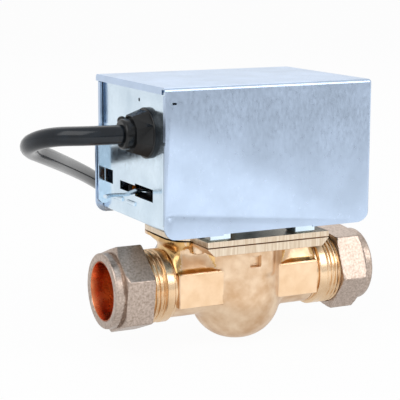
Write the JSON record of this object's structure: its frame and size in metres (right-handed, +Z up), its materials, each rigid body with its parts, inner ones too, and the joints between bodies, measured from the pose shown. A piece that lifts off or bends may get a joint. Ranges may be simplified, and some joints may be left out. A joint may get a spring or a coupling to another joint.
{
  "type": "motorised zone valve",
  "caption": "Two-port motorised zone valve with compression ends, spring-return actuator in a folded metal head, manual lever and flying cable.",
  "frame": {"origin": "centre of the inlet socket's mouth in the valve body, on the pipe axis, where the pipe enters", "axes": "+X along the pipe from inlet to outlet, +Z up through the actuator head, +Y towards the spindle side"},
  "size_m": [0.1802, 0.1688, 0.1037],
  "materials": {
    "forged_brass": "matte forged and machined brass",
    "plate_brass": "milled brass",
    "nut_brass": "dull tumbled brass",
    "olive_copper": "soft copper",
    "turned_brass": "turned",
    "steel_screws": "bright zinc plate",
    "seal_rubber": "matte black",
    "zinc_sheet": "zinc plated sheet, satin",
    "cover_sheet": "satin bluish metal sheet",
    "gear_steel": "pressed steel",
    "motor_metal": "drawn can",
    "pinion_metal": "hobbed brass",
    "spring_wire": "spring wire",
    "switch_plastic": "moulded phenolic",
    "switch_metal": "leaf steel",
    "gland_plastic": "black nylon",
    "cable_sheath": "black flexible PVC",
    "tie_plastic": "paper-thin coated strip",
    "core_blue": "PVC",
    "core_brown": "PVC",
    "core_grey": "PVC",
    "core_orange": "PVC",
    "core_green_yellow": "PVC"
  },
  "bodies": {
    "valve": {"base_frame": "zinc_sheet", "base_screws": "steel_screws", "blue_core": "core_blue", "blue_tail": "core_blue", "body_plate": "plate_brass", "body_plate_screws": "steel_screws", "brown_core": "core_brown", "brown_tail": "core_brown", "cable": "cable_sheath", "cable_coil": "cable_sheath", "cable_gland": "gland_plastic", "cable_tail": "cable_sheath", "cable_tie": "tie_plastic", "earth_screw": "steel_screws", "earth_tag": "turned_brass", "gland_nut": "gland_plastic", "green_yellow_core": "core_green_yellow", "green_yellow_tail": "core_green_yellow", "grey_core": "core_grey", "grey_tail": "core_grey", "inlet_olive": "olive_copper", "lever_pivot": "steel_screws", "motor_can": "motor_metal", "motor_gearbox": "motor_metal", "motor_plate": "zinc_sheet", "motor_plate_screws": "steel_screws", "motor_posts": "steel_screws", "motor_screws": "steel_screws", "orange_core": "core_orange", "orange_tail": "core_orange", "outlet_olive": "olive_copper", "plate_seal": "seal_rubber", "return_spring": "spring_wire", "switch_body": "switch_plastic", "switch_screws": "steel_screws", "switch_terminals": "turned_brass", "valve_body": "forged_brass"},
    "spindle_group": {"spindle": "turned_brass", "spindle_seals": "seal_rubber", "spindle_clips": "steel_screws", "ball_arm": "turned_brass", "arm_pin": "steel_screws", "valve_ball": "seal_rubber", "sector_gear": "gear_steel"},
    "pinion_group": {"motor_pinion": "pinion_metal"},
    "switch_leaf": {"switch_lever": "switch_metal"},
    "hand_lever": {"manual_lever": "zinc_sheet"},
    "inlet_nut_group": {"inlet_nut": "nut_brass"},
    "outlet_nut_group": {"outlet_nut": "nut_brass"},
    "cover_group": {"cover": "cover_sheet"}
  },
  "joints": [
    {"name": "spindle_turn", "type": "hinge", "parent": "valve", "child": "spindle_group", "pos_m": [0.0458, 0.0135, 0.03], "axis": [0, 0, 1], "range_deg": [0, 38], "stiffness_Nm_per_rad": 0.12, "springref_deg": -28.65, "deforming": ["return_spring"]},
    {"name": "pinion_turn", "type": "hinge", "parent": "valve", "child": "pinion_group", "pos_m": [0.07219, 0.00202, 0.03], "axis": [0, 0, 1], "range_deg": [-170.7, 0.5]},
    {"name": "switch_leaf_swing", "type": "hinge", "parent": "valve", "child": "switch_leaf", "pos_m": [0.026, 0.0018, 0.03], "axis": [0, 0, 1], "range_deg": [-0.2, 13.6]},
    {"name": "hand_lever_swing", "type": "hinge", "parent": "valve", "child": "hand_lever", "pos_m": [0.0418, -0.014, 0.038], "axis": [0, 0, 1], "range_deg": [-17.3, 0.2]},
    {"name": "inlet_nut_turn", "type": "hinge", "parent": "valve", "child": "inlet_nut_group", "pos_m": [-0.0035, 0, 0], "axis": [1, 0, 0], "continuous": true},
    {"name": "outlet_nut_turn", "type": "hinge", "parent": "valve", "child": "outlet_nut_group", "pos_m": [0.0951, 0, 0], "axis": [1, 0, 0], "continuous": true},
    {"name": "cover_lift", "type": "slide", "parent": "valve", "child": "cover_group", "axis": [0, 0, 1], "range_m": [0, 0.06]}
  ],
  "couplings": [
    {"joint": "pinion_turn", "follows": "spindle_turn", "ratio": -4.4667},
    {"joint": "switch_leaf_swing", "follows": "spindle_turn", "ratio": 0.35},
    {"joint": "hand_lever_swing", "follows": "spindle_turn", "ratio": -0.45}
  ]
}
